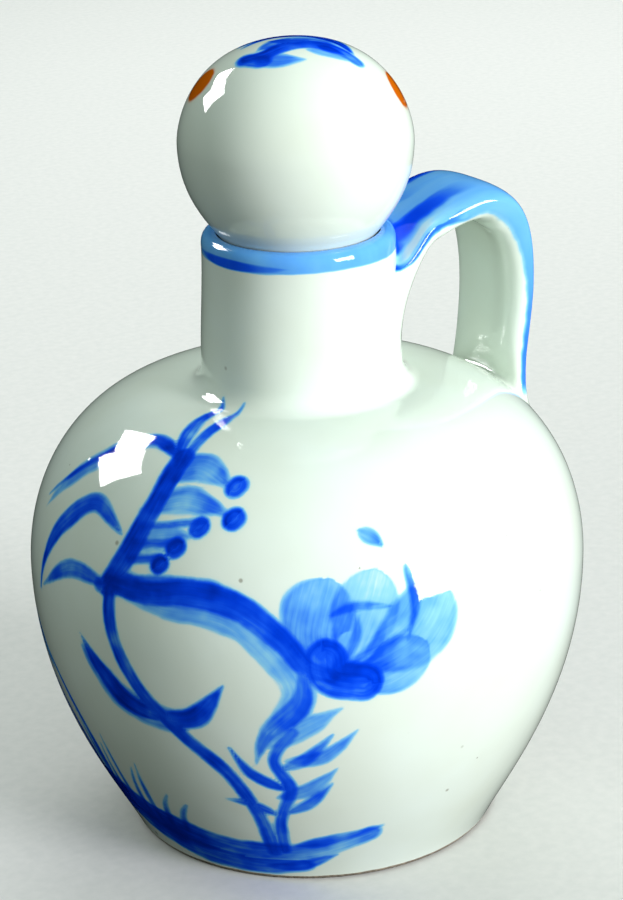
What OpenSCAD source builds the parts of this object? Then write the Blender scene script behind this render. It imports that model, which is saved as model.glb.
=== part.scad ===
// Handled stoneware spirits jug with a ball-headed stopper.
// Millimetres, +Z up. The origin is the middle of the foot, on the surface the jug stands on.
// The strap handle points along +X.

/* [Body] */
// Widest diameter of the belly
body_d = 150; // [120:1:180]
// Diameter of the foot where it meets the table
foot_d = 100; // [80:1:116]
// Height of the widest line
belly_h = 74.5; // [60:0.5:95]
// Height of the shoulder where it meets the neck
shoulder_h = 123; // [102:0.1:150]
// Thickness of the thrown wall
wall = 5; // [3.5:0.1:7]
// Thickness of the floor inside the foot
floor_t = 7; // [5:0.1:10]
// Width of the bare ring that stands on the table
foot_ring_w = 6; // [4:0.5:9]
// Depth of the turned hollow inside the foot ring
foot_hollow = 2; // [1:0.1:3]

/* [Neck] */
// Outer diameter at the bottom of the neck
neck_d = 53.4; // [48:0.1:62]
// Outer diameter just under the lip
lip_d = 51; // [48:0.1:58]
// Height from the shoulder to the top of the lip
neck_h = 42.2; // [35:0.1:52]
// Radius that blends the shoulder into the neck
neck_fillet = 5; // [3:0.1:8]
// Diameter of the bore that holds the cork
bore_d = 40; // [33:0.1:41]
// Height of the rounded lip
lip_h = 4.4; // [3:0.1:5]

/* [Handle] */
// Width of the strap across the fingers
strap_w = 30; // [22:0.5:36]
// Thickness of the strap
strap_t = 6.8; // [5:0.1:9]
// Distance of the strap's middle inside the belly's widest line
handle_inset = 9.6; // [8:0.1:14]
// Extra width where the strap is smoothed onto the neck
root_flare = 7; // [0:0.5:9]
// Depth of the thumb groove along the top of the strap
groove = 2.6; // [1:0.1:4]
// Depth of the clay smoothed onto the neck under the strap
root_web = 15; // [8:0.5:18]

/* [Stopper] */
// Widest diameter of the ball
ball_d = 61.4; // [51:0.1:66]
// Height of the ball above the lip
ball_h = 49.7; // [41:0.1:60]
// Wall of the hollow ball
ball_wall = 4; // [3:0.1:6]
// Diameter of the stem that carries the cork
stem_d = 18; // [14:0.1:22]
// Diameter of the vent through the stem
vent_d = 5; // [3:0.1:8]
// Length of the cork
cork_h = 24; // [16:0.5:30]
// How much narrower the cork is at its lower end
cork_taper = 2.4; // [0:0.1:4]
// How far the stem ends below the cork
stem_drop = 2; // [0.5:0.1:4]

/* [Hidden] */
$fn = 96;

glaze = [0.93, 0.94, 0.90];
strap_blue = [0.55, 0.72, 0.90];
bark = [0.72, 0.52, 0.33];

body_r = body_d / 2;
foot_r = foot_d / 2;
neck_r = neck_d / 2;
lip_r = lip_d / 2;
bore_r = bore_d / 2;
ball_r = ball_d / 2;
stem_r = stem_d / 2;
vent_r = vent_d / 2;
lip_top = shoulder_h + neck_h;
lip_low = lip_top - lip_h;

// Running gaps between pieces that move past each other
seat_gap = 0.3;
cork_gap = 0.1;
stem_gap = 0.05;

// Points on each smooth stretch of an outline
arc_steps = 14;

function bezier(p, t) =
    pow(1 - t, 3) * p[0] + 3 * pow(1 - t, 2) * t * p[1] + 3 * (1 - t) * t * t * p[2] + pow(t, 3) * p[3];
function bezier_slope(p, t) =
    3 * pow(1 - t, 2) * (p[1] - p[0]) + 6 * (1 - t) * t * (p[2] - p[1]) + 3 * t * t * (p[3] - p[2]);
function curve(p, n = arc_steps) = [for (i = [0:n]) bezier(p, i / n)];
function reverse(list) = [for (i = [len(list) - 1:-1:0]) list[i]];
function smooth(t) = let (u = min(max(t, 0), 1)) u * u * (3 - 2 * u);

// Lower wall: leaves the foot steeply and turns upright at the widest line
foot_lean = 65.5;
foot_pull = 14.5;
belly_pull = 36;
function lower_wall(inset, rise) = curve([
    [foot_r - inset, rise],
    [foot_r - inset + foot_pull * cos(foot_lean), rise + foot_pull * sin(foot_lean)],
    [body_r - inset, belly_h - belly_pull + 0.4 * rise],
    [body_r - inset, belly_h]]);

// Shoulder: turns in from the widest line and runs level into the neck
shoulder_pull = 26;
level_pull = 27;
function shoulder_wall(inset) = curve([
    [body_r - inset, belly_h],
    [body_r - inset, belly_h + shoulder_pull],
    [neck_r + neck_fillet + level_pull - inset, shoulder_h - inset],
    [neck_r + neck_fillet, shoulder_h - inset]]);

// Neck: a small fillet, then a slightly waisted wall up to the lip
neck_start = shoulder_h + 6;
neck_wall = concat(
    curve([
        [neck_r + neck_fillet, shoulder_h],
        [neck_r + 0.4 * neck_fillet, shoulder_h],
        [neck_r, shoulder_h + 2.5],
        [neck_r, neck_start]], 6),
    curve([
        [neck_r, neck_start],
        [neck_r, neck_start + 11],
        [lip_r, lip_low - 11],
        [lip_r, lip_low]], 8));

// Lip: rolls over from the neck and down to the bore
crest_r = (lip_r + bore_r) / 2;
mouth_edge = bore_r + 1.5;
lip_roll = concat(
    curve([[lip_r, lip_low], [lip_r + 0.4, lip_top - 0.6], [crest_r + 1.2, lip_top], [crest_r, lip_top]], 8),
    curve([[crest_r, lip_top], [crest_r - 0.8, lip_top], [mouth_edge, lip_top - 0.2],
        [mouth_edge - 0.2, lip_top - 0.9]], 4),
    curve([[mouth_edge - 0.2, lip_top - 0.9], [mouth_edge - 0.7, lip_top - 2.4],
        [bore_r, lip_low - 0.4], [bore_r, lip_low - 1.6]], 5));

// Inside: the bore opens into the hollow belly
inside_wall = concat(
    [[bore_r, shoulder_h + 3]],
    curve([[bore_r, shoulder_h + 3], [bore_r, shoulder_h - 1.5],
        [bore_r + 3, shoulder_h - wall], [neck_r + neck_fillet, shoulder_h - wall]], 6),
    reverse(shoulder_wall(wall)),
    reverse(lower_wall(wall, floor_t)),
    [[0, floor_t]]);

outside = concat([[foot_r - 0.8, 0]], [for (p = lower_wall(0, 0)) if (p.y > 0.6) p],
    shoulder_wall(0), neck_wall);

module jug_body() {
    ring_in = foot_r - foot_ring_w;
    color(glaze)
    rotate_extrude()
    polygon(concat([[0, foot_hollow], [ring_in - foot_hollow, foot_hollow], [ring_in, 0]],
        outside, lip_roll, inside_wall));
}

// The jug's outer form with no hollow, for fitting the handle against it
module jug_form() {
    rotate_extrude()
    polygon(concat([[0, 0]], outside, [[lip_r, lip_top], [0, lip_top]]));
}

// Handle: three curves carry the middle of the strap out from the neck, over and down.
// Both ends run on inside the jug's form and are trimmed to its surface.
strap_r = body_r - handle_inset;
span = strap_r - neck_r;
land_r = strap_r - 3;
shoulder_line = [for (p = reverse(shoulder_wall(0))) [p.x, p.y]];
land_z = lookup(land_r, shoulder_line);
top_r = neck_r + 0.57 * span;
root_z = lip_top - 7.4;
grip_z = land_z + 0.52 * (lip_top - land_z);
root_in = 10;
landing_in = 5;
strap_path = [
    [[neck_r - root_in, root_z], [neck_r + 5, root_z],
        [top_r - 10, lip_top - 1.6], [top_r, lip_top - 0.2]],
    [[top_r, lip_top - 0.2], [top_r + 0.66 * (strap_r - top_r), lip_top + 1.2],
        [strap_r, grip_z + 18], [strap_r, grip_z]],
    [[strap_r, grip_z], [strap_r, grip_z - 13], [land_r + 0.4, land_z + 10], [land_r, land_z - landing_in]]];
web_reach = 2.6;
landing_flare = 4;
strap_rings = 38;
strap_sides = 20;
squareness = 0.72;

// One ring of the strap's skin, s running from 0 at the neck to 3 at the shoulder
function strap_ring(s) =
    let (leg = min(floor(s), 2))
    let (mid = bezier(strap_path[leg], s - leg))
    let (slope = bezier_slope(strap_path[leg], s - leg))
    let (along = slope / norm(slope))
    let (out = [-along.y, along.x])
    let (root = pow(max(1 - s / 0.9, 0), 2))
    let (landing = pow(max((s - 2.5) / 0.5, 0), 2))
    let (w = strap_w + root_flare * root + landing_flare * landing - 2.5 * smooth(s - 1.7))
    let (t = strap_t + 1.8 * (1 - smooth((s - 0.9) / 0.7)) + landing_flare * landing)
    let (dish = groove * (1 - smooth((s - 0.3) / 1.4)) - 0.5 * smooth(s - 1))
    let (under = s < 1 ? root_web * exp(-max(mid.x - neck_r, 0) / web_reach) : 0)
    [for (i = [0:strap_sides - 1])
        let (a = 360 * i / strap_sides)
        let (c = sign(cos(a)) * pow(abs(cos(a)), squareness))
        let (n = sign(sin(a)) * pow(abs(sin(a)), squareness))
        let (lift = t / 2 * n + dish * (c * c - 0.45) + under * min(n, 0))
        [mid.x + out.x * lift, w / 2 * c, mid.y + out.y * lift]];

module skin(rings) {
    sides = len(rings[0]);
    last = len(rings) - 1;
    polyhedron(
        points = [for (ring = rings) each ring],
        faces = concat(
            [[for (i = [0:sides - 1]) i]],
            [[for (i = [sides - 1:-1:0]) last * sides + i]],
            [for (j = [0:last - 1]) for (i = [0:sides - 1])
                let (k = (i + 1) % sides)
                each [[j * sides + i, (j + 1) * sides + i, j * sides + k],
                    [j * sides + k, (j + 1) * sides + i, (j + 1) * sides + k]]]));
}

module handle() {
    color(strap_blue)
    difference() {
        skin([for (j = [0:strap_rings]) strap_ring(3 * j / strap_rings)]);
        jug_form();
    }
}

// Stopper: the hollow ball sits just clear of the lip on its stem
ball_top = lip_top + ball_h;
ball_mid = lip_top + 23.4;
ball_low = lip_top - 3.6;
ball_foot = bore_r - 1.1;
cork_top = ball_low - seat_gap;
stem_low = cork_top - cork_h - stem_drop;
hollow_low = ball_low + ball_wall;

function dome(r, top) = curve([[0, top], [r * 0.843, top], [r, ball_mid + (top - ball_mid) * 0.232], [r, ball_mid]]);
function bowl(r, low, in) = curve([[r, ball_mid], [r, ball_mid - 14.6], [in + 3.5, low + 5.6], [in, low]], 12);

module stopper_ball() {
    inner_r = ball_r - ball_wall;
    color(glaze)
    rotate_extrude()
    polygon(concat(
        [[vent_r, stem_low], [stem_r, stem_low], [stem_r, ball_low]],
        reverse(bowl(ball_r, ball_low, ball_foot)),
        reverse(dome(ball_r, ball_top)),
        dome(inner_r, ball_top - ball_wall),
        bowl(inner_r, hollow_low, ball_foot - ball_wall),
        [[vent_r, hollow_low]]));
}

module stopper_cork() {
    top_r = bore_r - cork_gap;
    color(bark)
    rotate_extrude()
    polygon([
        [stem_r + stem_gap, cork_top - cork_h],
        [top_r - cork_taper / 2 - 0.5, cork_top - cork_h],
        [top_r - cork_taper / 2, cork_top - cork_h + 0.8],
        [top_r, cork_top - 0.5],
        [top_r - 0.5, cork_top],
        [stem_r + stem_gap, cork_top]]);
}

jug_body();
handle();
stopper_ball();
stopper_cork();
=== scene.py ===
"""Finished surfaces of a handled stoneware spirits jug with a ball-headed stopper."""
import math

import bpy
import numpy as np
from mathutils import Matrix, Vector


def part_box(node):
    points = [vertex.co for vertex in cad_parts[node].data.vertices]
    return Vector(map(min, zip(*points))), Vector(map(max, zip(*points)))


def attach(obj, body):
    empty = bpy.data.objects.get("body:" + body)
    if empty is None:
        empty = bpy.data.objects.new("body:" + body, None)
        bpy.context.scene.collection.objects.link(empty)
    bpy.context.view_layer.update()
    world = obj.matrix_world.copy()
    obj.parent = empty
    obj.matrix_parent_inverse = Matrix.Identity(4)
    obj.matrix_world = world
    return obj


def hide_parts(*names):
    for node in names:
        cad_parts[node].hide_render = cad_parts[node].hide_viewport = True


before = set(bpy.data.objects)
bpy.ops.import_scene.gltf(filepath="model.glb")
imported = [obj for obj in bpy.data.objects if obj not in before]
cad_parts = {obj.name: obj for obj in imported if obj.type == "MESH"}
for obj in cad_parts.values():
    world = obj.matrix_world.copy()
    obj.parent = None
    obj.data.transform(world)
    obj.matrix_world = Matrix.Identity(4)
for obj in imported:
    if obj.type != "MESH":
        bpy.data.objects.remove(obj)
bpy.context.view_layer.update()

# ----------------------------------------
# Sizes, in millimetres. The CAD boxes give the driving ones.
# ----------------------------------------
MM = 0.001


def corner(node):
    """The upper corner of a CAD node's box, in millimetres."""
    return [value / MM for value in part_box(node)[1]]


body_r = corner("jug_body")[0]
lip_top = corner("jug_body")[2]
ball_r = corner("stopper_ball")[0]
ball_top = corner("stopper_ball")[2]
cork_r = corner("stopper_cork")[0]
cork_top = corner("stopper_cork")[2]
cork_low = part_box("stopper_cork")[0].z / MM
stem_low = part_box("stopper_ball")[0].z / MM

# Body, neck and lip
foot_r = 50
foot_ring_w = 6
foot_hollow = 2
foot_corner = 0.6
belly_h = 74.5
wall = 5
floor_t = 7
neck_r = 26.7
lip_r = 25.5
neck_fillet = 5
bore_r = 20
lip_h = 4.4
neck_h = 42.2
shoulder_h = lip_top - neck_h
lip_low = lip_top - lip_h

# Strap handle
strap_w = 30
strap_t = 6.8
handle_inset = 9.6
groove = 2.6

# Ball, with the stem below it
ball_wall = 4
stem_r = 9
vent_r = 2.5
seat_gap = 0.3
stem_gap = 0.05
ball_low = cork_top + seat_gap
ball_mid = lip_top + 23.4
ball_foot = bore_r - 1.1
stem_mid = (stem_low + ball_low) / 2

# The camera's way round the jug. Bearings on the surface are degrees to the right of the front.
view_turn = 33.5
front = -90 - view_turn

# Spacing of the rings up the painted wall, and steps round each turned piece. The jug has a sector
# with finer steps that carries most of the painting.
wall_step = 0.86
fine_from = -100
fine_turn = 140
fine_steps = 225
coarse_steps = 155
ball_steps = 240
cork_steps = 160


# ----------------------------------------
# Outlines
# ----------------------------------------
def bezier(points, t):
    """The points at t, from 0 to 1, of a curve with two end points and two pulls between them."""
    a, b, c, d = (np.array(p, float) for p in points)
    t = np.asarray(t, float)[..., None]
    return (1 - t) ** 3 * a + 3 * (1 - t) ** 2 * t * b + 3 * (1 - t) * t * t * c + t ** 3 * d


def evenly(points, step):
    """The line through a list of points, as points about step apart."""
    points = np.asarray(points, float)
    run = np.concatenate([[0], np.cumsum(np.linalg.norm(np.diff(points, axis=0), axis=1))])
    count = max(int(round(run[-1] / step)), 1)
    places = np.linspace(0, run[-1], count + 1)
    return np.stack([np.interp(places, run, points[:, k]) for k in range(points.shape[1])], 1)


def arc(points, step):
    """The same curve as points about step apart."""
    return evenly(bezier(points, np.linspace(0, 1, 120)), step)


def join(*stretches):
    """One outline from stretches that meet end to end, with the shared points kept once."""
    line = [tuple(stretches[0][0])]
    for stretch in stretches:
        line += [tuple(p) for p in stretch if np.hypot(*(np.array(p) - line[-1])) > 0.01]
    return line


def lower_wall(inset, rise, step):
    """The wall from the foot, where it leans out, up to the belly. rise lifts only its lower end."""
    lean = math.radians(65.5)
    foot_pull = 14.5
    belly_pull = 36
    return arc([
        (foot_r - inset, rise),
        (foot_r - inset + foot_pull * math.cos(lean), rise + foot_pull * math.sin(lean)),
        (body_r - inset, belly_h - belly_pull + 0.4 * rise),
        (body_r - inset, belly_h)], step)


def shoulder_wall(inset, step):
    """The wall from the belly in to the foot of the neck."""
    belly_pull = 26
    neck_pull = 27
    return arc([
        (body_r - inset, belly_h),
        (body_r - inset, belly_h + belly_pull),
        (neck_r + neck_fillet + neck_pull - inset, shoulder_h - inset),
        (neck_r + neck_fillet, shoulder_h - inset)], step)


def neck_wall(step):
    """The fillet at the foot of the neck, and the neck up to the lip."""
    fillet_top = shoulder_h + 6
    pull = 11
    return join(
        arc([(neck_r + neck_fillet, shoulder_h), (neck_r + 0.4 * neck_fillet, shoulder_h),
             (neck_r, shoulder_h + 2.5), (neck_r, fillet_top)], 0.8),
        arc([(neck_r, fillet_top), (neck_r, fillet_top + pull),
             (lip_r, lip_low - pull), (lip_r, lip_low)], step))


def outer_wall(step, neck_step):
    """The whole outer wall, from the top of the foot's rounded corner to the lip."""
    lower = [p for p in lower_wall(0, 0, step) if p[1] > foot_corner]
    return join(lower, shoulder_wall(0, step), neck_wall(neck_step))


def lip_roll(step):
    """The rolled lip, from the neck over its crest and into the bore."""
    crest = (lip_r + bore_r) / 2
    mouth = bore_r + 1.5
    return join(
        arc([(lip_r, lip_low), (lip_r + 0.4, lip_top - 0.6), (crest + 1.2, lip_top), (crest, lip_top)], step),
        arc([(crest, lip_top), (crest - 0.8, lip_top), (mouth, lip_top - 0.2),
             (mouth - 0.2, lip_top - 0.9)], step),
        arc([(mouth - 0.2, lip_top - 0.9), (mouth - 0.7, lip_top - 2.4), (bore_r, lip_low - 0.4),
             (bore_r, lip_low - 1.6)], step))


def jug_outline():
    """The jug's whole section, from the middle of its underside round to the middle of its floor."""
    ring_in = foot_r - foot_ring_w
    underside = [*[(r, foot_hollow) for r in (0, 12, 24, 34)],
                 (ring_in - foot_hollow, foot_hollow), (ring_in - 0.5, 0.3), (ring_in, 0),
                 (foot_r - 3, 0), (foot_r - 0.8, 0), (foot_r - 0.1, 0.2)]
    bore = evenly([(bore_r, lip_low - 1.6), (bore_r, shoulder_h + 3)], 7)
    flare = arc([(bore_r, shoulder_h + 3), (bore_r, shoulder_h - 1.5), (bore_r + 3, shoulder_h - wall),
                 (neck_r + neck_fillet, shoulder_h - wall)], 3)
    inside = join(bore, flare, shoulder_wall(wall, 9)[::-1], lower_wall(wall, floor_t, 9)[::-1])
    bottom = [(30, floor_t), (15, floor_t), (0, floor_t)]
    return join(underside, outer_wall(wall_step, 1.8), lip_roll(0.8), inside, bottom)


def dome(r, top, step):
    """The ball's upper half, from the middle of its top out to its widest ring."""
    top_pull = 0.843
    side_pull = 0.232
    return arc([(0, top), (r * top_pull, top), (r, ball_mid + (top - ball_mid) * side_pull), (r, ball_mid)],
               step)


def bowl(r, low, inner, step):
    """The ball's lower half, from its widest ring in to the edge of its flat foot."""
    side_pull = 14.6
    return arc([(r, ball_mid), (r, ball_mid - side_pull), (inner + 3.5, low + 5.6), (inner, low)], step)


def ball_outline():
    """The ball's section, from the top of its hollow down the vent, up the stem and over its outside."""
    inner_r = ball_r - ball_wall
    hollow_low = ball_low + ball_wall
    return join(
        dome(inner_r, ball_top - ball_wall, 4),
        bowl(inner_r, hollow_low, ball_foot - ball_wall, 4),
        [(vent_r + 0.5, hollow_low), (vent_r, hollow_low - 0.5)],
        [(vent_r, stem_mid), (vent_r, stem_low + 0.5), (vent_r + 0.5, stem_low)],
        [(stem_r - 0.8, stem_low), (stem_r - 0.2, stem_low + 0.3), (stem_r, stem_low + 1)],
        [(stem_r, stem_mid - 5), (stem_r, stem_mid + 5), (stem_r, ball_low - 0.6), (stem_r + 0.6, ball_low)],
        [(14, ball_low), (ball_foot - 0.6, ball_low)],
        bowl(ball_r, ball_low, ball_foot, 0.9)[::-1],
        dome(ball_r, ball_top, 0.9)[::-1])


def cork_outline():
    """The cork's section, tapered on the outside and closed round the stem's hole."""
    hole_r = stem_r + stem_gap
    low_r = cork_r - 1.2
    middle = (cork_low + cork_top) / 2
    return [(hole_r, cork_low), (14, cork_low), (low_r - 0.5, cork_low), (low_r, cork_low + 0.8),
            *evenly([(low_r, cork_low + 0.8), (cork_r, cork_top - 0.5)], 0.7),
            (cork_r - 0.5, cork_top), (14, cork_top), (hole_r, cork_top), (hole_r, middle),
            (hole_r, cork_low)]


# The outer wall, for laying brush strokes and the strap on it
outer_line = np.array(outer_wall(1, 1))


# ----------------------------------------
# Making meshes
# ----------------------------------------
def select_none():
    if bpy.context.object and bpy.context.object.mode != "OBJECT":
        bpy.ops.object.mode_set(mode="OBJECT")
    bpy.ops.object.select_all(action="DESELECT")


def activate(piece):
    """Makes a piece the only selected one and the active one."""
    select_none()
    piece.select_set(True)
    bpy.context.view_layer.objects.active = piece


def named(name):
    """Names the active object and its mesh."""
    piece = bpy.context.object
    piece.name = name
    piece.data.name = name
    return piece


def drawn(name, outline, bearing):
    """An outline drawn in edit mode, point by point, on the upright plane at a bearing in degrees."""
    select_none()
    way = Vector((math.cos(math.radians(bearing)), math.sin(math.radians(bearing)), 0))
    places = [(way * r + Vector((0, 0, z))) * MM for r, z in outline]
    # a small plane, merged to its centre, gives the first point
    bpy.ops.mesh.primitive_plane_add(size=MM, location=places[0])
    piece = named(name)
    bpy.ops.object.transform_apply(location=True)
    bpy.ops.object.mode_set(mode="EDIT")
    bpy.ops.mesh.select_all(action="SELECT")
    bpy.ops.mesh.merge(type="CENTER")
    for here, there in zip(places, places[1:]):
        bpy.ops.mesh.extrude_region_move(TRANSFORM_OT_translate={"value": there - here})
    bpy.ops.object.mode_set(mode="OBJECT")
    return piece


def turn(name, outline, start, turns):
    """A piece turned on the wheel, as sectors of (degrees, steps) from the bearing start, joined up."""
    sectors = []
    for angle, steps in turns:
        sector = drawn(name, outline, start)
        wheel = sector.modifiers.new("wheel", "SCREW")
        wheel.angle = math.radians(angle)
        wheel.steps = wheel.render_steps = steps
        bpy.ops.object.modifier_apply(modifier=wheel.name)
        sectors.append(sector)
        start += angle
    for sector in sectors:
        sector.select_set(True)
    bpy.ops.object.join()
    piece = named(name)
    bpy.ops.object.mode_set(mode="EDIT")
    bpy.ops.mesh.select_all(action="SELECT")
    bpy.ops.mesh.remove_doubles(threshold=0.002 * MM)
    bpy.ops.mesh.normals_make_consistent(inside=False)
    bpy.ops.object.mode_set(mode="OBJECT")
    return piece


def vertex_places(piece):
    """The piece's vertices in millimetres, as an array."""
    flat = np.empty(len(piece.data.vertices) * 3)
    piece.data.vertices.foreach_get("co", flat)
    return flat.reshape(-1, 3) / MM


def smooth_by_angle(piece, degrees=40):
    activate(piece)
    bpy.ops.object.shade_smooth_by_angle(angle=math.radians(degrees))


def ease(t):
    """0 below 0, 1 above 1, and an eased change between."""
    t = np.clip(t, 0, 1)
    return t * t * (3 - 2 * t)


# ----------------------------------------
# Camera, floor and lights
# ----------------------------------------
def camera():
    """A long lens in front of the jug that looks down at it: metres, and tilts in degrees."""
    distance = 0.7
    eye_height = 0.3725
    turned_aside = 0.157
    tipped_down = 21.073
    rolled = 1.569
    lens = bpy.data.cameras.new("camera")
    lens.sensor_width = 36
    lens.lens = 111.55
    eye = bpy.data.objects.new("camera", lens)
    bearing = math.radians(view_turn)
    place = Matrix.Translation((-distance * math.sin(bearing), -distance * math.cos(bearing), eye_height))
    tilt = (Matrix.Rotation(math.radians(-(view_turn + turned_aside)), 4, "Z")
            @ Matrix.Rotation(math.radians(90 - tipped_down), 4, "X")
            @ Matrix.Rotation(math.radians(-rolled), 4, "Z"))
    eye.matrix_world = place @ tilt
    bpy.context.collection.objects.link(eye)
    bpy.context.scene.camera = eye


def softbox(name, bearing, height, distance, size, power, lights="all"):
    """An area light at a bearing right of the front and a height in degrees, facing the jug's middle.

    Its distance and size are in metres and its power in watts.
    lights is "all", or "gloss" for a light seen only as a reflection, or "matt" for one that isn't.
    """
    aim = Vector((0, 0, 0.11))
    turned = math.radians(front + bearing)
    rise = math.radians(height)
    way = Vector((math.cos(turned) * math.cos(rise), math.sin(turned) * math.cos(rise), math.sin(rise)))
    lamp = bpy.data.lights.new(name, "AREA")
    lamp.shape = "RECTANGLE"
    lamp.size, lamp.size_y = size
    lamp.energy = power
    holder = bpy.data.objects.new(name, lamp)
    holder.location = aim + way * distance
    holder.rotation_euler = way.to_track_quat("Z", "Y").to_euler()
    holder.visible_diffuse = lights != "gloss"
    holder.visible_glossy = lights != "matt"
    bpy.context.collection.objects.link(holder)


def studio():
    """A pale floor, a key light, two windows that only the gloss shows, a fill and a soft sky."""
    bpy.context.scene.view_settings.view_transform = "Standard"
    select_none()
    bpy.ops.mesh.primitive_plane_add(size=30)
    floor = named("studio_floor")
    # the floor's bounce and reflection are kept off the jug
    floor.visible_diffuse = False
    floor.visible_glossy = False
    paper = Finish("studio_paper")
    grain = paper.noise(paper.place(), 300, detail=3)
    paper.surface(paper.ramp(grain, [(0.3, srgb(212, 213, 211)), (0.7, srgb(219, 219, 217))]), roughness=0.8)
    floor.data.materials.append(paper.block)

    softbox("key", bearing=55, height=12, distance=6.0, size=(2.5, 2.5), power=510)
    softbox("window_low", bearing=-121, height=32, distance=1.0, size=(0.28, 0.33), power=8, lights="gloss")
    softbox("window_high", bearing=-138, height=35, distance=1.0, size=(0.22, 0.19), power=3.4,
            lights="gloss")
    softbox("fill_behind", bearing=172, height=38, distance=1.3, size=(0.9, 0.9), power=7, lights="matt")

    sky = Finish("studio_sky", bpy.data.worlds)
    way = sky.node("ShaderNodeTexCoord", output="Generated")
    height = sky.axes(way)[2]
    tone = sky.ramp(height * 0.5 + 0.5, [(0.42, (0.01, 0.01, 0.01, 1)), (0.56, (0.50, 0.56, 0.53, 1))])
    glow = sky.node("ShaderNodeBackground", inputs={"Color": tone, "Strength": 1.07})
    sky.end(glow, "ShaderNodeOutputWorld")
    sky.block.cycles_visibility.glossy = False
    bpy.context.scene.world = sky.block


# ----------------------------------------
# Shader building
# ----------------------------------------
def srgb(red, green, blue):
    """A display colour, 0 to 255, as the linear colour that shaders use."""
    def straighten(v):
        v /= 255
        return v / 12.92 if v <= 0.04045 else ((v + 0.055) / 1.055) ** 2.4
    return (straighten(red), straighten(green), straighten(blue), 1)


class Value:
    """A shader socket. Arithmetic on a number's socket adds Math nodes."""

    def __init__(self, finish, socket):
        self.finish = finish
        self.socket = socket

    def math(self, operation, *values):
        return self.finish.node("ShaderNodeMath", {"operation": operation}, dict(enumerate(values)))

    def __add__(self, other):
        return self.math("ADD", self, other)

    def __radd__(self, other):
        return self.math("ADD", other, self)

    def __sub__(self, other):
        return self.math("SUBTRACT", self, other)

    def __rsub__(self, other):
        return self.math("SUBTRACT", other, self)

    def __mul__(self, other):
        return self.math("MULTIPLY", self, other)

    def __truediv__(self, other):
        return self.math("DIVIDE", self, other)

    def lesser(self, other):
        return self.math("MINIMUM", self, other)

    def greater(self, other):
        return self.math("MAXIMUM", self, other)


class Finish:
    """One material, or the sky, built node by node."""

    def __init__(self, name, kind=bpy.data.materials):
        self.block = kind.new(name)
        self.block.use_nodes = True
        self.tree = self.block.node_tree
        self.tree.nodes.clear()

    def node(self, kind, settings=None, inputs=None, output=0):
        """Adds a node: its settings are set first, then its sockets get values or links."""
        made = self.tree.nodes.new(kind)
        for key, value in (settings or {}).items():
            if key == "stops":
                self.set_stops(made.color_ramp, value)
            else:
                setattr(made, key, value)
        for key, value in (inputs or {}).items():
            socket = made.inputs[key]
            if isinstance(value, Value):
                self.tree.links.new(value.socket, socket)
            else:
                socket.default_value = value
        return Value(self, made.outputs[output])

    def set_stops(self, ramp, stops):
        while len(ramp.elements) < len(stops):
            ramp.elements.new(1)
        for element, (at, colour) in zip(ramp.elements, stops):
            element.position = at
            element.color = colour

    def place(self):
        """Where the point is on the piece, in metres."""
        return self.node("ShaderNodeTexCoord", output="Object")

    def axes(self, vector):
        split = self.node("ShaderNodeSeparateXYZ", inputs={0: vector})
        return [Value(self, socket) for socket in split.socket.node.outputs]

    def vector(self, x, y, z):
        return self.node("ShaderNodeCombineXYZ", inputs={0: x, 1: y, 2: z})

    def stretched(self, vector, scale):
        return self.node("ShaderNodeMapping", inputs={"Vector": vector, "Scale": scale})

    def noise(self, place, scale, detail=2, rough=0.5, twist=0):
        return self.node("ShaderNodeTexNoise", inputs={
            "Vector": place, "Scale": scale, "Detail": detail, "Roughness": rough, "Distortion": twist})

    def fade(self, value, start, end):
        """0 at start, 1 at end, with an eased change between."""
        return self.node("ShaderNodeMapRange", {"interpolation_type": "SMOOTHSTEP"}, {
            "Value": value, "From Min": start, "From Max": end, "To Min": 0.0, "To Max": 1.0})

    def ramp(self, value, stops):
        return self.node("ShaderNodeValToRGB", {"stops": stops}, {0: value})

    def mix(self, factor, below, above):
        """Two colours, where a factor of 1 shows only the one above."""
        colours = {0: factor, 6: below, 7: above}
        return self.node("ShaderNodeMix", {"data_type": "RGBA"}, colours, output=2)

    def strokes(self, layer):
        """A layer of brush strokes: (distance past the edge, along, across) in mm, and the load of colour."""
        read = self.node("ShaderNodeAttribute", {"attribute_name": layer}, output="Vector")
        edge, along, across = self.axes(read)
        return edge, along, across, Value(self, read.socket.node.outputs["Alpha"])

    def number(self, name):
        """The number that the piece's vertices keep under a name."""
        return self.node("ShaderNodeAttribute", {"attribute_name": name}, output="Fac")

    def specks(self, place, spacing, radius, keep):
        """Spots up to radius mm, one to a cell of spacing mm, in the share keep of the cells."""
        scale = 1 / (spacing * MM)
        cells = self.node("ShaderNodeTexVoronoi", inputs={"Vector": place, "Scale": scale})
        chance = self.axes(Value(self, cells.socket.node.outputs["Color"]))[0]
        reach = self.fade(chance, 1 - keep, 1.0) * (radius / spacing)
        return self.fade(cells, reach, reach * 0.35)

    def surface(self, colour, roughness, normal=None):
        inputs = {"Base Color": colour, "Roughness": roughness, "IOR": 1.5}
        if normal is not None:
            inputs["Normal"] = normal
        return self.end(self.node("ShaderNodeBsdfPrincipled", inputs=inputs), "ShaderNodeOutputMaterial")

    def end(self, shader, kind):
        """Links the shader to an output of the kind, and gives the finished block."""
        out = self.tree.nodes.new(kind)
        self.tree.links.new(shader.socket, out.inputs["Surface"])
        return self.block

    def bump(self, height, depth):
        """A relief of depth mm for heights from 0 to 1."""
        return self.node("ShaderNodeBump", inputs={"Height": height, "Distance": depth * MM, "Strength": 1.0})


# ----------------------------------------
# Finishes
# ----------------------------------------
MILK = srgb(228, 240, 232)
CREAM = srgb(222, 232, 219)
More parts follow.
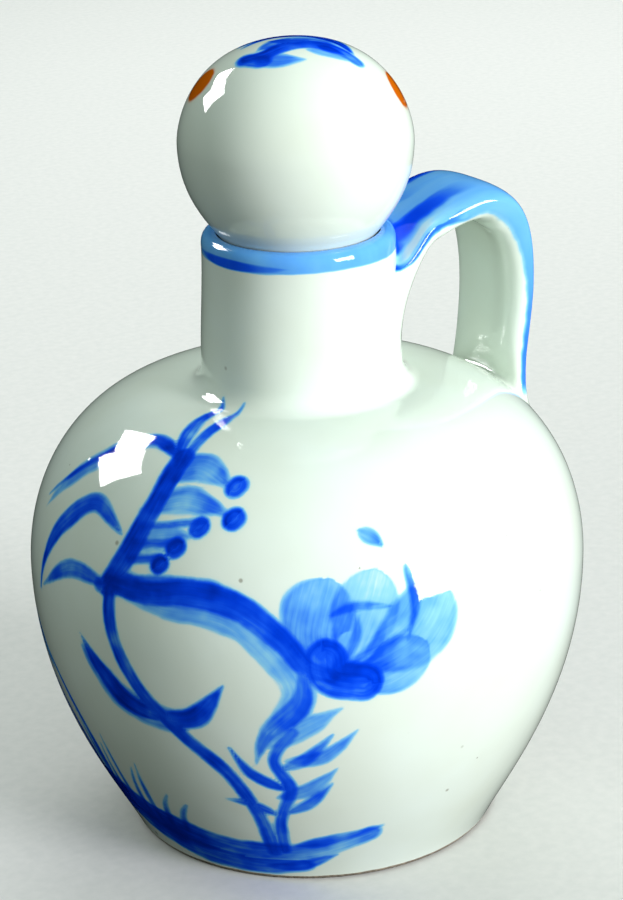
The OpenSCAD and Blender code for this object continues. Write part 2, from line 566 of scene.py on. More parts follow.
# cobalt under the glaze, from the thinnest bleed to the heaviest stroke
TINT = srgb(184, 224, 230)
PALE = srgb(140, 205, 240)
SKY = srgb(98, 172, 244)
AZURE = srgb(56, 128, 240)
COBALT = srgb(20, 88, 246)
DEEP = srgb(2, 64, 228)
NAVY = srgb(0, 44, 180)


def pigment(f, density, ground):
    """The blue that a load of cobalt gives under the glaze, from bare ground to navy."""
    blue = f.ramp(density, [
        (0.0, TINT), (0.14, PALE), (0.28, SKY), (0.43, AZURE), (0.6, COBALT), (0.8, DEEP), (1.0, NAVY)])
    return f.mix(f.fade(density, 0.0, 0.14), ground, blue)


def ground_glaze(f, place):
    """The clear-white glaze, with clouds of tone and faint rust spots, and where its iron specks are."""
    cloud = f.noise(place, 24, detail=3)
    tone = f.ramp(cloud, [(0.32, MILK), (0.68, CREAM)])
    iron = f.specks(place, 8.5, 1.0, 0.4)
    rust = f.specks(f.stretched(place, (1, 1, 1.7)), 31, 1.8, 0.35)
    tone = f.mix(rust * 0.2, tone, srgb(214, 184, 138))
    return f.mix(iron * 0.6, tone, srgb(118, 108, 88)), iron


def glossy(f, colour, place, relief=0, dullness=0.02):
    """A fired gloss over the colour, with soft waves and a fine orange peel."""
    waves = f.noise(place, 42, detail=2)
    peel = f.noise(place, 420, detail=2)
    normal = f.bump(waves * 0.5 + peel * 0.03 + relief, 0.35)
    worn = f.noise(place, 60, detail=4)
    return f.surface(colour, dullness + worn * 0.05, normal)


def brushwork(f, layer, place, soft=0.8, stray=1.1):
    """The load of colour left by one layer of strokes: bleeding edges, pools and faint bristle streaks.

    soft is how far the edge bleeds and stray how far it wanders, in mm.
    """
    edge, along, across, load = f.strokes(layer)
    wander = f.noise(place, 95, detail=1)
    shiver = f.noise(place, 620, detail=2)
    edge = edge + (wander - 0.5) * stray + (shiver - 0.5) * 0.3
    cover = f.fade(edge, soft, -soft) * 0.92 + f.fade(edge, 2.4, -0.6) * 0.08
    hairs = f.noise(f.vector(along * 0.07, across * 0.9, 0), 1, detail=2)
    drift = f.noise(f.vector(along * 0.07, 0, 7), 1, detail=1)
    blots = f.noise(place, 120, detail=2)
    rim = f.fade(edge, -2.2, -0.6)
    leaning = f.fade(across, -2.8, 2.8)
    body = (0.84 + (hairs - 0.5) * 0.8 + (blots - 0.5) * 1.5 + (drift - 0.5) * 1.1 + rim * 0.08
            + leaning * 0.26)
    return cover * load * body


def over(below, above):
    """Two loads of colour, one laid over the other, which never add up past the heaviest."""
    return below + above * (1 - below)


def painted(f, place, layers):
    """The load of colour of a soft wash with firmer layers of strokes over it."""
    load = brushwork(f, "wash", place, soft=1.1, stray=2.6)
    for layer in layers:
        load = over(load, brushwork(f, layer, place).lesser(1.0))
    return load


def jug_finish():
    f = Finish("painted_glaze")
    place = f.place()
    ground, iron = ground_glaze(f, place)
    load = painted(f, place, ("veil", "line", "ink"))

    # The lip has a thin, streaky band of blue that pools along its lower edge in a dark patch at the left
    # front; that edge is also darkened all round towards the left, away from the key light, as painted shade
    drift = f.noise(f.stretched(place, (1, 1, 0.4)), 130, detail=3)
    slow = f.noise(place, 34, detail=2)
    band = f.fade(f.number("band") + (drift - 0.5) * 0.7, 0.45, -0.25)
    load = load.greater(band * (0.10 + drift * 0.14 + slow * 0.20))
    # the band's lower edge darkened: pooled blue at the left front, and painted shade towards the left
    pooled_and_shaded = f.fade(f.number("rim_dark") + (slow - 0.5) * 0.8, 0.1, 1.0)
    load = load.greater(pooled_and_shaded * band * (0.4 + drift * 0.4))
    colour = pigment(f, load.lesser(1.0), ground)

    # The foot ring and the hollow inside it were wiped bare, and the glaze stops just above the table
    clay_grain = f.noise(place, 900, detail=4)
    clay = f.ramp(clay_grain, [(0.3, srgb(120, 112, 100)), (0.7, srgb(163, 152, 134))])
    ragged = f.noise(place, 160, detail=2)
    bare = f.fade(f.number("bare") + (ragged - 0.5) * 0.5, 0.1, -0.1)
    relief = bare * clay_grain * 0.8 - iron * 0.12
    return glossy(f, f.mix(bare, colour, clay), place, relief, bare * 0.6 + 0.02)


# ----------------------------------------
# Brush strokes
# ----------------------------------------
# In mm: the distance kept for a place with no stroke near it, and how far each stroke's streaks are
# shifted from those of the stroke before it
far_off = 9.0
stroke_shift = 60


def on_wall(bearing, height):
    """The point of the outer wall at a bearing right of the front and a height in mm."""
    radius = np.interp(height, outer_line[:, 1], outer_line[:, 0])
    turned = np.radians(front + np.asarray(bearing, float))
    return np.stack([radius * np.cos(turned), radius * np.sin(turned), np.asarray(height, float)], -1)


def on_dome(right, back):
    """The point on top of the ball, right of and behind its middle in mm as the camera sees it."""
    line = np.array(dome(ball_r, ball_top, 0.5))
    height = np.interp(np.hypot(right, back), line[:, 0], line[:, 1])
    turned = math.radians(view_turn)
    x = right * math.cos(turned) + back * math.sin(turned)
    y = back * math.cos(turned) - right * math.sin(turned)
    return np.stack([x, y, height], -1)


def flowing(points, count=48):
    """A smooth curve through a few points (Catmull-Rom), as count points."""
    p = np.array([points[0], *points, points[-1]], float)
    spans = len(points) - 1
    t = np.linspace(0, spans, count)
    i = np.minimum(t.astype(int), spans - 1)
    u = (t - i)[:, None]
    a, b, c, d = p[i], p[i + 1], p[i + 2], p[i + 3]
    return 0.5 * (2 * b + (c - a) * u + (2 * a - 5 * b + 4 * c - d) * u ** 2
                  + (3 * b - a - 3 * c + d) * u ** 3)


def brush(points, width, load, shape="even"):
    """One stroke: its points on the surface, half width in mm at its fullest, load and taper.

    A load of two numbers runs from the first at the start to the second at the end.
    """
    return {"points": points, "width": width, "load": load, "shape": shape}


def round_end(t, widest):
    """A rounded tip for the stretch from widest to 1."""
    return np.sqrt(np.clip(1 - ((t - widest) / (1 - widest)) ** 2, 0, 1))


# A stroke's half width along its run from 0 to 1, as a share of its fullest
TAPERS = {
    "even": lambda t: 1 + 0 * t,
    "leaf": lambda t: np.sin(np.pi * t ** 0.8),
    "petal": lambda t: np.where(t < 0.62, 0.22 + 0.78 * ease(t / 0.62), round_end(t, 0.62)),
    "tail": lambda t: np.minimum(6 * t + 0.3, 1) * (1 - t ** 1.5),
    "swell": lambda t: 0.6 + 0.4 * np.sin(np.pi * t),
}


def lay_strokes(places, strokes, onto):
    """For each vertex place: distance past the nearest stroke's edge, along, across, and load.

    onto puts a stroke's two-number points on the piece's surface.
    """
    field = np.tile(np.array([far_off, 0.0, 0.0, 0.0]), (len(places), 1))
    for number, stroke in enumerate(strokes):
        laid = flowing(stroke["points"])
        line = onto(laid[:, 0], laid[:, 1])
        # only the vertices within reach of the stroke are measured
        reach = stroke["width"] + 3
        near = np.all((places > line.min(0) - reach) & (places < line.max(0) + reach), axis=1)
        index = np.where(near)[0]
        if not len(index):
            continue
        here = places[index][:, None]
        start, step = line[:-1], np.diff(line, axis=0)
        length = np.linalg.norm(step, axis=1) + 1e-9
        t = np.clip(((here - start) * step).sum(2) / length ** 2, 0, 1)
        away = here - (start + t[..., None] * step)
        gap = np.linalg.norm(away, axis=2)
        pick = gap.argmin(1)
        each = np.arange(len(index))
        run = np.concatenate([[0], np.cumsum(length)])
        along = run[pick] + t[each, pick] * length[pick]
        outward = here[:, 0] * (1, 1, 0)
        side = np.sign((np.cross(step[pick], away[each, pick]) * outward).sum(1))
        gap = gap[each, pick]
        part = along / run[-1]
        edge = gap - stroke["width"] * TAPERS[stroke["shape"]](part)
        load = stroke["load"]
        if isinstance(load, tuple):
            load = load[0] + (load[1] - load[0]) * part
        nearer = edge < field[index, 0]
        taken = index[nearer]
        field[taken, 0] = edge[nearer]
        field[taken, 1] = along[nearer] + stroke_shift * number
        field[taken, 2] = (gap * side)[nearer]
        field[taken, 3] = (load + 0 * part)[nearer]
    return field


def store(piece, name, values):
    """Keeps numbers on the piece's vertices: one each, or four for a layer of strokes."""
    kind = "FLOAT_COLOR" if values.ndim == 2 else "FLOAT"
    made = piece.data.attributes.new(name, kind, "POINT")
    made.data.foreach_set("color" if values.ndim == 2 else "value", values.astype(np.float32).ravel())


def grass(root, height, lean, load=0.6):
    """A blade of grass from the bank, at a bearing, up to a height in mm."""
    bank = 15 - (root + 50) * 0.12
    return brush([(root, bank), (root + lean * 0.35, bank + (height - bank) * 0.6), (root + lean, height)],
                 1.0, (load, load * 0.7), "tail")


def berry(bearing, height, radius, load=0.72):
    """A round dab of colour."""
    return brush([(bearing - 0.3, height - 0.3), (bearing + 0.3, height + 0.3)], radius, load)


def garden():
    """The painted spray: a bank with grass, a tall stem with berries, long leaves and one nodding bloom.

    Four layers laid over each other: broad wash, veil, line and ink.
    """
    wash = [
        # outer petals
        brush([(5, 72), (1, 82), (4, 96)], 9.0, (0.42, 0.26), "petal"),
        brush([(7, 72), (20, 80), (27, 92)], 9.5, (0.36, 0.2), "petal"),
        # bank
        brush([(-80, 27), (-60, 20), (-40, 14), (-18, 11), (0, 12), (14, 17)], 4.6, (0.8, 0.36), "swell"),
        brush([(-76, 18), (-50, 10), (-26, 6), (-4, 6)], 5.0, (0.9, 0.55), "swell"),
        # soft sides of the stalk and the long leaf
        brush([(-42, 90), (-30, 88), (-16, 87), (-6, 77), (-2, 66), (-8, 55)], 4.8, (0.34, 0.26), "swell"),
        brush([(-52, 69), (-41, 58), (-28, 55), (-19, 63)], 4.2, (0.4, 0.34), "leaf"),
        # pale leaves by the berries
        brush([(-39, 114), (-29, 117), (-18, 114)], 4.4, (0.36, 0.44), "leaf"),
        brush([(-40, 107), (-29, 111), (-17, 109)], 3.8, (0.34, 0.42), "leaf"),
        brush([(-41, 99), (-33, 103), (-25, 104)], 3.2, (0.3, 0.36), "leaf"),
        brush([(-39, 119), (-54, 118), (-66, 109), (-75, 96)], 3.0, 0.26, "leaf"),
        brush([(-9, 50), (-2, 56), (6, 62)], 2.8, 0.26, "leaf"),
    ]
    veil = [
        # inner petals
        brush([(5, 71), (9, 82), (14, 97)], 8.5, (0.34, 0.12), "petal"),
        brush([(5, 71), (14, 71), (23, 77)], 7.5, (0.4, 0.2), "petal"),
        brush([(-74, 23), (-48, 14), (-26, 10), (-8, 9)], 3.8, (0.6, 0.3), "leaf"),
        brush([(-6, 46), (2, 47), (9, 55)], 2.2, 0.32, "leaf"),
        brush([(-8, 33), (-1, 36), (5, 43)], 2.2, 0.32, "leaf"),
        brush([(-70, 52), (-78, 62), (-90, 68)], 2.6, 0.28, "leaf"),
        brush([(-74, 36), (-84, 50), (-98, 60)], 2.8, 0.28, "leaf"),
        # the stalk's dark back
        brush([(-42, 90), (-30, 92), (-18, 92), (-8, 86), (-2, 77)], 2.4, (0.4, 0.3), "leaf"),
    ]
    line = [
        # stalk of the bloom
        brush([(-44, 89), (-34, 89), (-24, 91), (-14, 89), (-6, 82), (-1, 74), (4, 71)],
              3.4, (0.72, 0.52), "swell"),
        # tall stem, from the bank to its top
        brush([(-11, 11), (-13, 26), (-18, 40), (-27, 51), (-36, 62), (-42, 76), (-43, 88)], 1.9, (0.6, 0.7)),
        # two leaves that part from the stem like a boat
        brush([(-30, 55), (-41, 58), (-52, 72)], 3.0, (0.78, 0.66), "leaf"),
        brush([(-32, 56), (-24, 57), (-17, 68)], 2.8, (0.56, 0.72), "leaf"),
        # a leaf that falls from the stalk
        brush([(-2, 74), (-2, 64), (-9, 54), (-12, 44)], 2.8, (0.5, 0.42), "leaf"),
        # small spray below
        brush([(-8, 12), (-8, 24), (-5, 36), (-8, 46), (-4, 55)], 1.5, (0.66, 0.5)),
        brush([(-6, 36), (-13, 41), (-17, 49)], 1.8, 0.56, "leaf"),
        brush([(-7, 43), (-1, 47), (4, 54)], 1.8, 0.46, "leaf"),
        brush([(-7, 27), (-1, 31), (4, 38)], 1.8, 0.46, "leaf"),
        brush([(-8, 26), (-14, 30), (-20, 31)], 1.7, 0.54, "leaf"),
        # long leaves to the left
        brush([(-38, 118), (-51, 119), (-64, 112), (-76, 99)], 1.9, (0.74, 0.5), "tail"),
        brush([(-43, 101), (-54, 105), (-63, 97), (-68, 86), (-70, 76)], 2.8, (0.5, 0.84), "leaf"),
        brush([(-43, 88), (-56, 88), (-68, 78)], 2.2, (0.7, 0.5), "leaf"),
        brush([(-64, 22), (-68, 38), (-78, 54), (-92, 60)], 2.0, (0.7, 0.5), "tail"),
        brush([(-68, 24), (-78, 42), (-90, 48), (-104, 46)], 2.0, (0.7, 0.5), "tail"),
        brush([(-60, 22), (-60, 36), (-66, 50), (-76, 62)], 1.6, (0.7, 0.5), "tail"),
        # streaks of the bank
        brush([(-6, 14), (5, 16.5), (17, 20)], 2.0, (0.5, 0.3), "leaf"),
        brush([(-14, 5), (-4, 6), (6, 10)], 2.2, (0.56, 0.4), "leaf"),
        *[grass(*blade) for blade in (
            (-72, 36, -7), (-66, 39, -3), (-61, 43, -3), (-57, 36, 1), (-53, 40, -1), (-49, 33, 3),
            (-45, 35, 1), (-41, 27, 4), (-36, 25, 4))],
        # veins of the petals
        brush([(4, 87), (9, 89), (16, 88)], 1.1, 0.36, "leaf"),
        brush([(20, 97), (21, 88), (19, 79)], 1.3, 0.36, "leaf"),
        brush([(7, 76), (9, 82), (9, 88)], 1.3, 0.32, "leaf"),
        brush([(10, 74), (16, 79), (20, 82)], 1.1, 0.28, "leaf"),
        # a falling petal
        brush([(11, 106), (14, 104), (16, 102)], 1.9, (0.26, 0.36), "leaf"),
        # tuft at the top of the stem
        brush([(-36, 116), (-41, 121), (-48, 125)], 1.9, 0.72, "leaf"),
        brush([(-35, 116), (-35, 121), (-33, 125)], 1.7, 0.62, "leaf"),
        # stalks of the berries
        brush([(-39, 96), (-32, 98)], 0.9, 0.5),
        brush([(-39, 100), (-29, 102)], 0.9, 0.5),
        brush([(-38, 104), (-25, 107)], 0.9, 0.5),
    ]
    ink = [
        # the stem's heavy top and its joint with the bloom's stalk
        brush([(-44, 88), (-40, 97), (-37, 108), (-36, 118)], 2.9, (0.74, 0.72)),
        brush([(-46, 87.5), (-40, 89.5), (-34, 88.5)], 3.2, 0.46, "swell"),
        # heart of the bloom
        brush([(3, 76), (4, 71), (10, 69)], 5.2, 0.66),
        berry(-17.5, 114.5, 2.7), berry(-16.5, 108.5, 2.6), berry(-24, 106, 2.5),
        berry(-28.5, 101, 2.3), berry(-31.5, 96.5, 2.1),
        # the bank's dark middle, and the crease of a long leaf
        brush([(-70, 18), (-46, 11), (-24, 8)], 4.2, (0.55, 0.4), "leaf"),
        brush([(-46, 66), (-40, 59), (-32, 56.5)], 1.5, 0.4, "leaf"),
    ]
    return {"wash": wash, "veil": veil, "line": line, "ink": ink}


# ----------------------------------------
# Jug
# ----------------------------------------
def mark_wall(piece):
    """Keeps on the jug's vertices where its strokes, its band and its bare clay are."""
    places = vertex_places(piece)
    height = places[:, 2]
    radius = np.hypot(places[:, 0], places[:, 1])
    bearing = (np.degrees(np.arctan2(places[:, 1], places[:, 0])) - front + 180) % 360 - 180

    # strokes lie on the outside of the wall only
    outer = (radius > np.interp(height, outer_line[:, 1], outer_line[:, 0]) - 1.5) & (height > 0.3)
    for layer, strokes in garden().items():
        field = lay_strokes(places, strokes, on_wall)
        field[~outer, 0] = far_off
        store(piece, layer, field)

    # mm below the lip's blue band, whose lower edge wavers, and how dark its lower edge is: pooled blue, with
    # painted shade towards the left
    band_edge = lip_low - 0.6 + 0.25 * np.sin(np.radians(3 * bearing + 40))
    in_bore = radius < (lip_r + bore_r) / 2
    depth = np.where(in_bore, lip_low + 0.5 - height, band_edge - height)
    store(piece, "band", np.clip(depth, -6, 6))
    # a dark patch of pooled blue at the left front, plus painted shade that darkens the edge all round
    # towards the left, the side away from the key light
    left = np.exp(-((bearing + 47) / 26) ** 2) + 0.25 * (1 + np.cos(np.radians(bearing + 60)))
    low = ease((height - band_edge) / 0.8) * (1 - ease((height - lip_low - 0.6) / 2.2))
    store(piece, "rim_dark", left * low)

    # less than 0 where the clay is bare: under the foot, and the lowest part of the wall
    underfoot = np.where(height < 3, -5, 5.0)
    store(piece, "bare", np.where(radius < foot_r - 0.5, underfoot, height - 1.3))


def jug():
    piece = turn("thrown_jug", jug_outline(), front + fine_from,
                 [(fine_turn, fine_steps), (360 - fine_turn, coarse_steps)])
    mark_wall(piece)
    smooth_by_angle(piece)
    piece.data.materials.append(jug_finish())
    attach(piece, "jug")
    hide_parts("jug_body")


# ----------------------------------------
# Handle
# ----------------------------------------
strap_rings = 170
strap_sides = 72
# how deep the strap's ends are hidden in the wall
hidden_end = 1.5
# how far the cap at the neck bulges, so that it stays well within the round wall
cap_bulge = 2.5
# 1 gives the strap's section round edges, less gives squarer ones
squareness = 0.72
# height of the strap's middle line where it leaves the neck
root_z = lip_top - 7.4
# rise over run of the strap at its crest
crest_slope = 0.16
# what the strap gains in width at its root, its landing and its bend
root_spread = 7
landing_spread = 4
bend_spread = 2
# what it gains in thickness near the root, inside the bend, and along one edge of the bend
root_thick = 1.8
bend_thick = 3.4
edge_thick = 2.2
# how far its edges hang down at the root
edge_droop = 6.5


def strap_path():
    """The strap's middle line as three curves: neck to crest, crest to grip, grip to shoulder."""
    strap_r = body_r - handle_inset
    shoulder = np.array(shoulder_wall(0, 1))[::-1]
    land_r = strap_r - 3
    land_z = float(np.interp(land_r, shoulder[:, 0], shoulder[:, 1]))
    top_r = neck_r + 0.57 * (strap_r - neck_r)
    grip_z = land_z + 0.52 * (lip_top - land_z)
    return [
        [(neck_r - 10, root_z), (neck_r + 5, root_z),
         (top_r - 10, lip_top - 10 * crest_slope), (top_r, lip_top)],
        [(top_r, lip_top), (top_r + 12, lip_top + 12 * crest_slope),
         (strap_r + 0.2, grip_z + 20), (strap_r, grip_z)],
        [(strap_r, grip_z), (strap_r - 0.5, grip_z - 13), (land_r + 0.4, land_z + 10), (land_r, land_z - 5)]]


def clearance(places):
    """How far each place stands outside the jug's wall in mm, less than 0 inside it, and the way out."""
    line = np.vstack([outer_line, [(lip_r, lip_top), (0, lip_top)]])
    flat = np.stack([np.hypot(places[..., 0], places[..., 1]), places[..., 2]], -1)
    start, step = line[:-1], np.diff(line, axis=0)
    here = flat[..., None, :]
    t = np.clip(((here - start) * step).sum(-1) / ((step ** 2).sum(1) + 1e-12), 0, 1)
    away = here - (start + t[..., None] * step)
    gap = np.linalg.norm(away, axis=-1)
    pick = gap.argmin(-1)
    gap = np.take_along_axis(gap, pick[..., None], -1)[..., 0]
    way = np.stack([step[pick][..., 1], -step[pick][..., 0]], -1)
    way /= np.linalg.norm(way, axis=-1)[..., None]
    spoke = places[..., :2] / flat[..., :1]
    way = np.concatenate([spoke * way[..., :1], way[..., 1:]], -1)
    inside = (flat[..., 1] < lip_top) & (flat[..., 0] < np.interp(flat[..., 1], line[:, 1], line[:, 0]))
    return np.where(inside, -gap, gap), way


def strap_places(s, c, n):
    """Points of the strap's skin: s runs from 0 in the neck to 3 in the shoulder, c across, n through."""
    path = strap_path()
    leg = np.minimum(s.astype(int), 2)
    mid, slope = np.zeros(s.shape + (2,)), np.zeros(s.shape + (2,))
    for k in range(3):
        here = leg == k
        mid[here] = bezier(path[k], s[here] - k)
        slope[here] = bezier(path[k], s[here] - k + 0.01) - bezier(path[k], s[here] - k - 0.01)
    slope /= np.linalg.norm(slope, axis=-1)[..., None]
    root = np.clip(1 - s / 0.9, 0, 1) ** 2
    landing = np.clip((s - 2.5) / 0.5, 0, 1) ** 2
    width = (strap_w + root_spread * root + landing_spread * landing
             + bend_spread * np.exp(-((s - 1.5) / 0.5) ** 2) - ease(s - 1.7))
    thick = strap_t + root_thick * (1 - ease((s - 0.9) / 0.7))
    dish = groove * (1 - ease((s - 0.25) / 0.65)) - 0.5 * ease(s - 0.8)
    droop = edge_droop * (1 - ease((mid[..., 0] - 19.5) / 15)) * (s < 1)
    bend = bend_thick * np.exp(-((s - 1.38) / 0.4) ** 2)
    bend = bend + edge_thick * ease((-c - 0.1) / 0.8) * ease((s - 1) / 0.5) * (1 - ease((s - 2.3) / 0.6))
    lift = (thick / 2 * n + bend * np.clip(n, -1, 0) + dish * (np.abs(c) ** 3 - 0.4)
            - droop * ease((np.abs(c) - 0.2) / 0.65))
    out = mid[..., 0] - slope[..., 1] * lift
    up = mid[..., 1] + slope[..., 0] * lift
    return np.stack([out, width / 2 * c, up], -1)


def strap_skin():
    """The strap's skin as rings of points, each with how far along, across and through it lies."""
    turned = np.radians(np.arange(strap_sides) * 360 / strap_sides)
    c = np.sign(np.cos(turned)) * np.abs(np.cos(turned)) ** squareness
    n = np.sign(np.sin(turned)) * np.abs(np.sin(turned)) ** squareness
    # each line along the strap starts and ends a little way inside the jug's wall
    tries = np.repeat(np.linspace(0.02, 2.98, 500)[:, None], strap_sides, 1)
    clear = clearance(strap_places(tries, c, n))[0] > -hidden_end
    first = tries[clear.argmax(0), 0]
    last = tries[len(tries) - 1 - clear[::-1].argmax(0), 0]
    s = first + (last - first) * ease(np.linspace(0, 1, 3 * strap_rings))[:, None]
    places = strap_places(s, c, n)
    normal = np.cross(np.roll(places, -1, 1) - np.roll(places, 1, 1), np.gradient(places, axis=0))
    normal /= np.linalg.norm(normal, axis=2)[..., None]
    # a fillet where the strap nears the jug, deepest under the root; it slides along the jug's wall
    under, over, side = np.clip(-n, 0, 1), np.clip(n, 0, 1), np.abs(c) ** 4
    at_root = s < 1.2
    reach = np.where(at_root, 2.4 + 13.6 * under - 1.2 * over, 3 + 2 * over)
    drop = np.where(at_root, 2.4 - 1.2 * side + 20 * under - 1.2 * over, 3 + 2 * over)
    gap, way = clearance(places)
    near = np.clip(1 - np.clip(gap, 0, None) / reach, 0, 1)
    slide = normal - way * (normal * way).sum(2)[..., None]
    places = places + slide * (drop * (1 - np.sqrt(1 - near ** 2)))[..., None]
    moved, way = clearance(places)
    places -= way * (moved - gap)[..., None]
    # rings evenly spaced along every line
    run = np.concatenate([np.zeros((1, strap_sides)), np.cumsum(
        np.linalg.norm(np.diff(places, axis=0), axis=2), axis=0)])
    kept = np.concatenate([places, s[..., None], gap[..., None]], 2)
    even = np.linspace(0, 1, strap_rings + 1)
    rings = np.stack([np.stack([np.interp(even * run[-1, i], run[:, i], kept[:, i, k])
                                for k in range(kept.shape[2])], 1) for i in range(strap_sides)], 1)
    across, through = np.tile(c, (strap_rings + 1, 1)), np.tile(n, (strap_rings + 1, 1))
    return rings[..., :3], rings[..., 3], across, through, rings[..., 4]


def handle():
    """The strap is laid ring by ring, because its section changes all the way along."""
    places, along, across, through, gap = strap_skin()
    rings, sides = along.shape
    caps = [places[0].mean(0), places[-1].mean(0)]
    caps[0][0] += cap_bulge
    first_cap = rings * sides
    pairs = [(i, (i + 1) % sides) for i in range(sides)]
    faces = [[j * sides + a, j * sides + b, (j + 1) * sides + b, (j + 1) * sides + a]
             for j in range(rings - 1) for a, b in pairs]
    for cap, start in ((first_cap, 0), (first_cap + 1, (rings - 1) * sides)):
        faces += [[cap, start + a, start + b] for a, b in pairs]
    mesh = bpy.data.meshes.new("strap_handle")
    mesh.from_pydata((np.concatenate([places.reshape(-1, 3), caps]) * MM).tolist(), [], faces)
    piece = bpy.data.objects.new("strap_handle", mesh)
    bpy.context.collection.objects.link(piece)
    for name, values in (("along", along), ("across", across), ("through", through), ("gap", gap)):
        store(piece, name, np.append(values.ravel(), [0, 0]))
    activate(piece)
    bpy.ops.object.mode_set(mode="EDIT")
    bpy.ops.mesh.select_all(action="SELECT")
    bpy.ops.mesh.normals_make_consistent(inside=False)
    bpy.ops.object.mode_set(mode="OBJECT")
    smooth_by_angle(piece, 60)
    piece.data.materials.append(handle_finish())
    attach(piece, "jug")
    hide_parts("handle")


def handle_finish():
    f = Finish("blue_glaze")
    place = f.place()
    ground = ground_glaze(f, place)[0]
    along, across, through = f.number("along"), f.number("across"), f.number("through")
    hairs = f.noise(f.vector(along * 0.9, across * 3.2, through * 0.3), 1, detail=3, twist=0.3)
    slow = f.noise(f.vector(along * 2.6, across * 1.3, through * 0.8), 1, detail=2)
    ragged = f.noise(place, 260, detail=2)

    def streak(middle, width, start, end, load):
        """A streak along the strap, middle across it, that fades out from start to end along it."""
        offset = (across - middle + (slow - 0.5) * 0.25) / width
        body = f.fade(offset * offset + (hairs - 0.5) * 0.7, 1.1, 0.1)
        return body * f.fade(along + (hairs - 0.5) * 0.3, end, start) * load

    # dark streaks on top, and a pale streak beside them that is a painted highlight along the near ridge; the
    # blue is deepened where the root meets the jug, painted shade in that crease
    top = f.fade(through, 0.1, 0.5)
    # painted shade: darker blue in the crease where the strap's root nears the jug's wall
    pooled_and_shaded = f.fade(f.number("gap") + (hairs - 0.5) * 2.2, 3.6, 0.2) * f.fade(along, 1.2, 0.9) * 0.5
    dark = streak(-0.44, width=0.24, start=0.5, end=1.15, load=0.5)
    dark = dark.greater(streak(0.8, width=0.24, start=0.9, end=1.3, load=0.52))
    dark = dark.greater(streak(0.3, width=0.16, start=0.3, end=0.85, load=0.26))
    # painted highlight: a near-white stripe along the strap's near ridge, where a glint of the key light
    # falls
    painted_ridge_highlight = streak(-0.82, width=0.14, start=0.3, end=0.95, load=0.8)
    rim = streak(-0.985, width=0.03, start=0.5, end=0.9, load=0.26)
    load = (0.15 + hairs * 0.11 + slow * 0.10 + dark.greater(pooled_and_shaded) * top) * (1 - painted_ridge_highlight) + rim
    load = load + f.fade(along, 1.6, 2.5) * 0.2
    # the level through the strap below which the blue stops and the pale underside starts
    edge = f.fade(along, 0.9, 1.5) * 0.28 + f.fade(along, 0.85, 0.55) * 0.3 - 0.42
    edge = edge + f.fade(f.number("gap"), 7.0, 0.5) * f.fade(along, 1.0, 0.7) * 0.34
    edge = edge - f.fade(along, 1.0, 1.3) * f.fade(along, 2.2, 1.6) * 0.36
    outside = f.fade(through - edge + (ragged - 0.5) * 0.18, -0.12, 0.2)
    ends = f.fade(along + (ragged - 0.5) * 0.05, 2.93, 2.80)
    colour = pigment(f, (load * outside * ends).lesser(1.0), ground)
    return glossy(f, colour, place)


# ----------------------------------------
# Stopper
# ----------------------------------------
def crown():
    """The brush marks on top of the ball."""
    wash = [
        brush([(-10, -10), (-4, -13), (3, -13)], 2.8, (0.5, 0.3), "leaf"),
        brush([(3, -8), (9, -8.5), (15, -9)], 2.2, 0.26, "leaf"),
        brush([(-14, 3), (-6, 9), (4, 10), (13, 5)], 3.6, 0.4, "leaf"),
        brush([(-9, -6), (-2, -2), (6, -1), (14, -5)], 3.6, 0.42, "leaf"),
    ]
    line = [
        brush([(-12, -9), (-7, -9), (-1, -5.5), (5, -4), (11, -5), (16, -8)], 2.9, (0.9, 0.42), "swell"),
        brush([(15, -4), (11, 2), (3, 6), (-6, 5), (-13, 0)], 2.9, (0.74, 0.8), "leaf"),
        brush([(-6, 0), (0, -2), (5, 1)], 2.0, 0.5, "leaf"),
    ]
    ink = [
        brush([(-12, -9), (-8, -12)], 2.6, 0.66),
        brush([(6, -5), (13, -7)], 1.9, 0.6, "leaf"),
    ]
    return {"wash": wash, "line": line, "ink": ink}


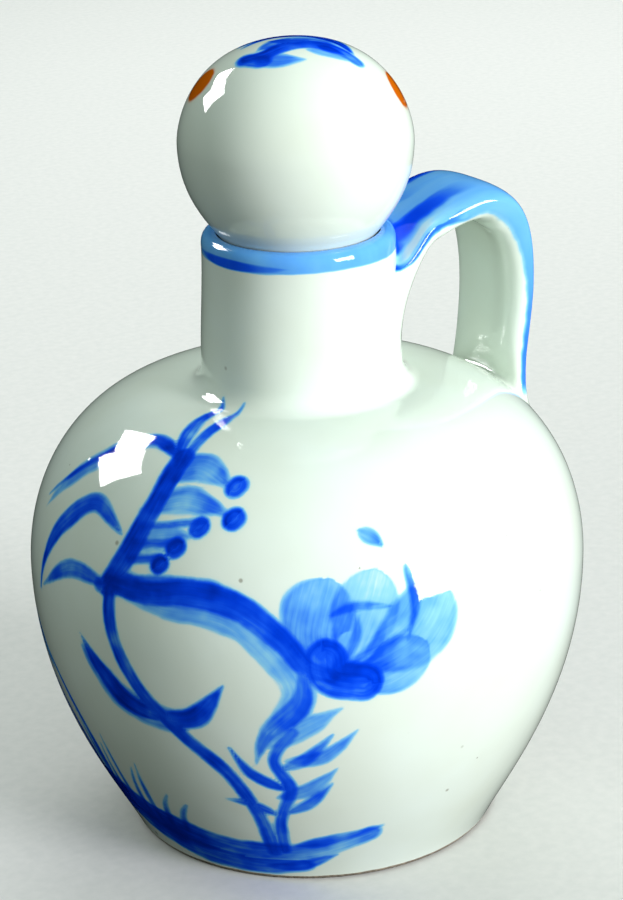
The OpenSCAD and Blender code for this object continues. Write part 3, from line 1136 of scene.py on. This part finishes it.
def ball_finish():
    f = Finish("ball_glaze")
    place = f.place()
    ground, iron = ground_glaze(f, place)
    colour = pigment(f, painted(f, place, ("line", "ink")).lesser(1.0), ground)
    red = brushwork(f, "red", place)
    colour = f.mix(red, colour, f.ramp(red, [(0.2, srgb(232, 144, 44)), (0.8, srgb(206, 100, 6))]))
    return glossy(f, colour, place, relief=iron * -0.12)


def on_ball(bearing, height):
    """The point of the ball's upper half at a bearing right of the front and a height in mm."""
    line = np.array(dome(ball_r, ball_top, 0.5))[::-1]
    radius = np.interp(height, line[:, 1], line[:, 0])
    turned = np.radians(front + bearing)
    return np.stack([radius * np.cos(turned), radius * np.sin(turned), height], -1)


def stopper():
    piece = turn("ball_stopper", ball_outline(), front, [(360, ball_steps)])
    places = vertex_places(piece)
    for layer, strokes in crown().items():
        store(piece, layer, lay_strokes(places, strokes, on_dome))
    spots = [brush([(side - 1, height - 0.4), (side + 1, height + 0.4)], 4.7, 1.2)
             for side, height in ((-80, ball_top - 9.9), (86, ball_top - 13.4))]
    store(piece, "red", lay_strokes(places, spots, on_ball))
    smooth_by_angle(piece)
    piece.data.materials.append(ball_finish())
    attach(piece, "ball")
    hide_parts("stopper_ball")


def cork_finish():
    f = Finish("cork_bark")
    place = f.place()
    grain = f.noise(place, 260, detail=5, rough=0.65)
    bands = f.noise(f.stretched(place, (1, 1, 4)), 90, detail=3)
    pits = f.fade(f.noise(f.stretched(place, (1, 1, 2.4)), 330, detail=2), 0.62, 0.7)
    tone = f.ramp(grain * 0.6 + bands * 0.4, [
        (0.3, srgb(150, 103, 60)), (0.5, srgb(196, 150, 98)), (0.72, srgb(222, 184, 134))])
    colour = f.mix(pits * 0.8, tone, srgb(92, 56, 30))
    return f.surface(colour, 0.85 + grain * 0.1, f.bump(grain * 0.5 - pits, 0.5))


def cork():
    piece = turn("cork_sleeve", cork_outline(), front, [(360, cork_steps)])
    smooth_by_angle(piece)
    piece.data.materials.append(cork_finish())
    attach(piece, "cork")
    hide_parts("stopper_cork")


camera()
studio()
jug()
handle()
stopper()
cork()
